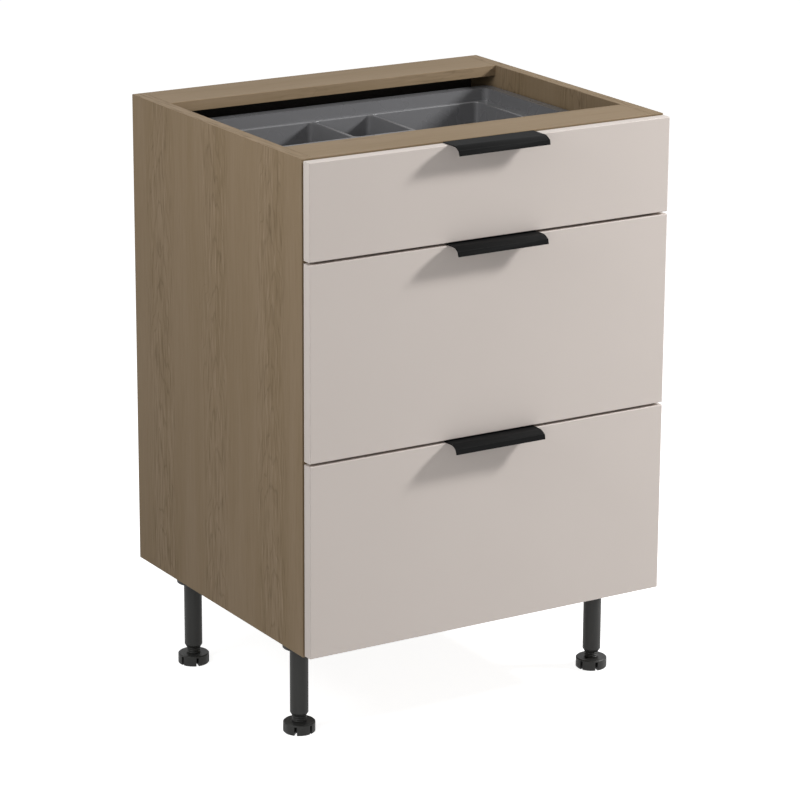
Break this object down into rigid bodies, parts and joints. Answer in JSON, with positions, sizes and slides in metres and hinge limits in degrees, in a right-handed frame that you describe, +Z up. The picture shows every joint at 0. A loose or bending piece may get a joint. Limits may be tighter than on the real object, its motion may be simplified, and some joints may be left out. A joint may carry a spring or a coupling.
{
  "type": "drawer base cabinet",
  "caption": "Kitchen base cabinet with woodgrain carcass on adjustable legs, greige drawer fronts with black edge handles and a cutlery tray in the top drawer.",
  "frame": {"origin": "on the floor, under the middle of the whole cabinet with its handles", "axes": "+Z up, the drawer fronts face -Y, +X is the right side seen from the front"},
  "size_m": [0.6, 0.546, 0.87],
  "materials": {
    "carcass_board": "brown oak woodgrain melamine, matt",
    "back_board": "dark brown thin fibreboard, matt",
    "dowel_wood": "raw beech",
    "cam_metal": "die-cast zinc, bright",
    "fastener_steel": "zinc plated",
    "runner_steel": "galvanised sheet",
    "drawer_side_steel": "dark grey powder coat",
    "drawer_board": "dark grey melamine",
    "front_lacquer": "greige matt lacquer on fibreboard",
    "handle_black": "black, matt anodised",
    "leg_plastic": "black moulded",
    "tray_plastic": "grey moulded, fine texture"
  },
  "bodies": {
    "carcass": {"left_side_panel": "carcass_board", "right_side_panel": "carcass_board", "bottom_panel": "carcass_board", "front_rail": "carcass_board", "rear_rail": "carcass_board", "back_panel": "back_board", "carcass_dowels": "dowel_wood", "cam_bolts": "fastener_steel", "cam_discs": "cam_metal", "leg_screws": "fastener_steel", "runner_screws": "fastener_steel", "leg_sockets": "leg_plastic", "leg_tube_front_left": "leg_plastic", "leg_tube_front_right": "leg_plastic", "leg_tube_rear_left": "leg_plastic", "leg_tube_rear_right": "leg_plastic", "cabinet_runner_top_left": "runner_steel", "cabinet_runner_top_right": "runner_steel", "cabinet_runner_middle_left": "runner_steel", "cabinet_runner_middle_right": "runner_steel", "cabinet_runner_bottom_left": "runner_steel", "cabinet_runner_bottom_right": "runner_steel"},
    "drawer_top": {"drawer_front_top": "front_lacquer", "handle_top": "handle_black", "drawer_bottom_top": "drawer_board", "drawer_back_top": "drawer_board", "drawer_screws_top": "fastener_steel", "drawer_side_top_left": "drawer_side_steel", "drawer_runner_top_left": "runner_steel", "drawer_side_top_right": "drawer_side_steel", "drawer_runner_top_right": "runner_steel", "cutlery_tray": "tray_plastic"},
    "drawer_middle": {"drawer_front_middle": "front_lacquer", "handle_middle": "handle_black", "drawer_bottom_middle": "drawer_board", "drawer_back_middle": "drawer_board", "drawer_screws_middle": "fastener_steel", "drawer_side_middle_left": "drawer_side_steel", "drawer_runner_middle_left": "runner_steel", "drawer_side_middle_right": "drawer_side_steel", "drawer_runner_middle_right": "runner_steel"},
    "drawer_bottom": {"drawer_front_bottom": "front_lacquer", "handle_bottom": "handle_black", "drawer_bottom_bottom": "drawer_board", "drawer_back_bottom": "drawer_board", "drawer_screws_bottom": "fastener_steel", "drawer_side_bottom_left": "drawer_side_steel", "drawer_runner_bottom_left": "runner_steel", "drawer_side_bottom_right": "drawer_side_steel", "drawer_runner_bottom_right": "runner_steel"},
    "slide_top_left": {"middle_slide_top_left": "runner_steel"},
    "slide_top_right": {"middle_slide_top_right": "runner_steel"},
    "slide_middle_left": {"middle_slide_middle_left": "runner_steel"},
    "slide_middle_right": {"middle_slide_middle_right": "runner_steel"},
    "slide_bottom_left": {"middle_slide_bottom_left": "runner_steel"},
    "slide_bottom_right": {"middle_slide_bottom_right": "runner_steel"},
    "foot_front_left": {"foot_front_left": "leg_plastic"},
    "foot_front_right": {"foot_front_right": "leg_plastic"},
    "foot_rear_left": {"foot_rear_left": "leg_plastic"},
    "foot_rear_right": {"foot_rear_right": "leg_plastic"}
  },
  "joints": [
    {"name": "drawer_top_slide", "type": "slide", "parent": "carcass", "child": "drawer_top", "axis": [0, -1, 0], "range_m": [0, 0.42]},
    {"name": "drawer_middle_slide", "type": "slide", "parent": "carcass", "child": "drawer_middle", "axis": [0, -1, 0], "range_m": [0, 0.42]},
    {"name": "drawer_bottom_slide", "type": "slide", "parent": "carcass", "child": "drawer_bottom", "axis": [0, -1, 0], "range_m": [0, 0.42]},
    {"name": "slide_top_left_travel", "type": "slide", "parent": "carcass", "child": "slide_top_left", "axis": [0, -1, 0], "range_m": [0, 0.21]},
    {"name": "slide_top_right_travel", "type": "slide", "parent": "carcass", "child": "slide_top_right", "axis": [0, -1, 0], "range_m": [0, 0.21]},
    {"name": "slide_middle_left_travel", "type": "slide", "parent": "carcass", "child": "slide_middle_left", "axis": [0, -1, 0], "range_m": [0, 0.21]},
    {"name": "slide_middle_right_travel", "type": "slide", "parent": "carcass", "child": "slide_middle_right", "axis": [0, -1, 0], "range_m": [0, 0.21]},
    {"name": "slide_bottom_left_travel", "type": "slide", "parent": "carcass", "child": "slide_bottom_left", "axis": [0, -1, 0], "range_m": [0, 0.21]},
    {"name": "slide_bottom_right_travel", "type": "slide", "parent": "carcass", "child": "slide_bottom_right", "axis": [0, -1, 0], "range_m": [0, 0.21]},
    {"name": "foot_front_left_height", "type": "slide", "parent": "carcass", "child": "foot_front_left", "axis": [0, 0, 1], "range_m": [-0.025, 0.01]},
    {"name": "foot_front_right_height", "type": "slide", "parent": "carcass", "child": "foot_front_right", "axis": [0, 0, 1], "range_m": [-0.025, 0.01]},
    {"name": "foot_rear_left_height", "type": "slide", "parent": "carcass", "child": "foot_rear_left", "axis": [0, 0, 1], "range_m": [-0.025, 0.01]},
    {"name": "foot_rear_right_height", "type": "slide", "parent": "carcass", "child": "foot_rear_right", "axis": [0, 0, 1], "range_m": [-0.025, 0.01]}
  ],
  "couplings": [
    {"joint": "slide_top_left_travel", "follows": "drawer_top_slide", "ratio": 0.5},
    {"joint": "slide_top_right_travel", "follows": "drawer_top_slide", "ratio": 0.5},
    {"joint": "slide_middle_left_travel", "follows": "drawer_middle_slide", "ratio": 0.5},
    {"joint": "slide_middle_right_travel", "follows": "drawer_middle_slide", "ratio": 0.5},
    {"joint": "slide_bottom_left_travel", "follows": "drawer_bottom_slide", "ratio": 0.5},
    {"joint": "slide_bottom_right_travel", "follows": "drawer_bottom_slide", "ratio": 0.5}
  ]
}
